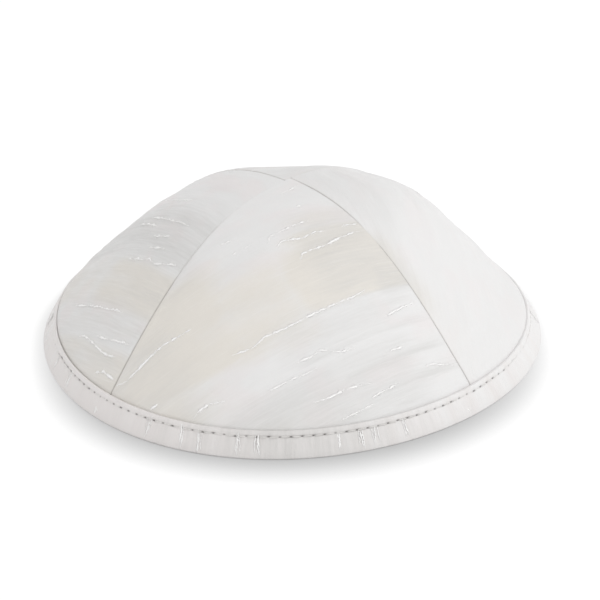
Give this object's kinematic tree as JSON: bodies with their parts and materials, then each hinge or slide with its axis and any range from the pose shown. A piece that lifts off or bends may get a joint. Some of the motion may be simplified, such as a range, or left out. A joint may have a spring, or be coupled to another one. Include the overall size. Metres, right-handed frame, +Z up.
{
  "type": "kippah skullcap",
  "caption": "Low domed skullcap sewn from gore panels of ivory crinkled satin, with a folded and topstitched binding round its rim.",
  "frame": {"origin": "on the floor at the middle of the rim", "axes": "+Z up through the crown, the front panel faces -Y, +X to the right of someone who looks at the front panel"},
  "size_m": [0.1702, 0.1702, 0.0548],
  "materials": {
    "panel_cloth": "crinkled satin with raised slub threads",
    "binding_cloth": "crinkled satin, folded and topstitched"
  },
  "bodies": {
    "root": {"front_panel": "panel_cloth", "right_panel": "panel_cloth", "back_panel": "panel_cloth", "left_panel": "panel_cloth", "rim_binding": "binding_cloth"}
  },
  "joints": []
}
